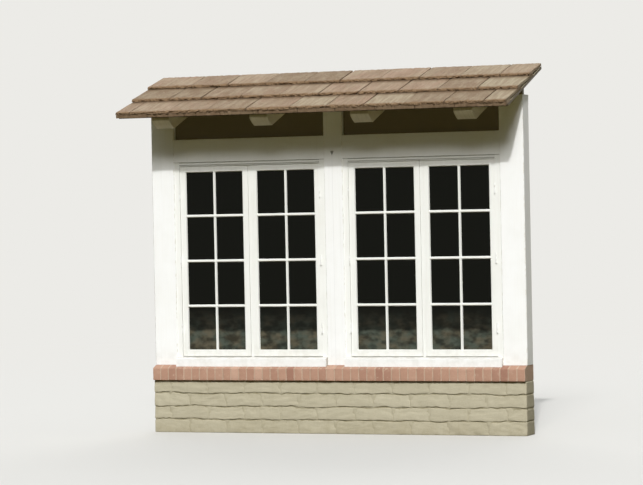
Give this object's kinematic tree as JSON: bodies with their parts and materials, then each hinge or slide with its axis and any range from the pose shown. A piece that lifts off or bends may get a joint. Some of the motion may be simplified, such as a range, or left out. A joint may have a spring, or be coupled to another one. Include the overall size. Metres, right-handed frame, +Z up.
{
  "type": "timber-framed window bay",
  "caption": "White timber window bay with two pairs of divided-light casements between posts, on a brick sill and block wall, under a strip of tiled eaves",
  "frame": {"origin": "Middle of the underside of the low block wall, where it meets the ground.", "axes": "+Z is up and -Y is the outside, towards which the eaves reach. +X is to the right seen from outside. The bay is the same on both sides of X = 0."},
  "size_m": [3.135, 0.8911, 2.781],
  "materials": {
    "painted_block": "rough block with worn tan paint",
    "brick": "weathered pinkish red brick",
    "white_timber": "brushed white house paint",
    "tan_timber": "tan house paint",
    "inside_timber": "satin cream paint",
    "bare_timber": "bare softwood",
    "eaves_timber": "cream house paint, weathered",
    "roof_tile": "split-textured concrete tile",
    "sash_timber": "white gloss paint",
    "window_glass": "clear",
    "painted_hinge": "painted over in white",
    "brass": "dull lacquered brass"
  },
  "bodies": {
    "root": {"apron_wall": "painted_block", "brick_sill": "brick", "left_post": "white_timber", "centre_post": "white_timber", "right_post": "white_timber", "left_header": "white_timber", "right_header": "white_timber", "left_frieze_panel": "tan_timber", "right_frieze_panel": "tan_timber", "left_frieze_lining": "inside_timber", "right_frieze_lining": "inside_timber", "top_plate": "bare_timber", "rafters": "eaves_timber", "eave_blocks": "tan_timber", "roof_deck": "eaves_timber", "tile_starter": "roof_tile", "tile_course_1": "roof_tile", "tile_course_2": "roof_tile", "tile_course_3": "roof_tile", "left_window_sill": "white_timber", "right_window_sill": "white_timber", "left_stool": "inside_timber", "right_stool": "inside_timber", "left_window_jambs": "white_timber", "right_window_jambs": "white_timber", "left_window_head": "white_timber", "right_window_head": "white_timber", "left_window_mullion": "white_timber", "right_window_mullion": "white_timber", "left_outer_sash": "sash_timber", "left_inner_sash": "sash_timber", "right_inner_sash": "sash_timber", "right_outer_sash": "sash_timber", "left_outer_bars": "sash_timber", "left_inner_bars": "sash_timber", "right_inner_bars": "sash_timber", "right_outer_bars": "sash_timber", "left_outer_glass": "window_glass", "left_inner_glass": "window_glass", "right_inner_glass": "window_glass", "right_outer_glass": "window_glass", "sash_hinges": "painted_hinge", "sash_latches": "brass"}
  },
  "joints": []
}
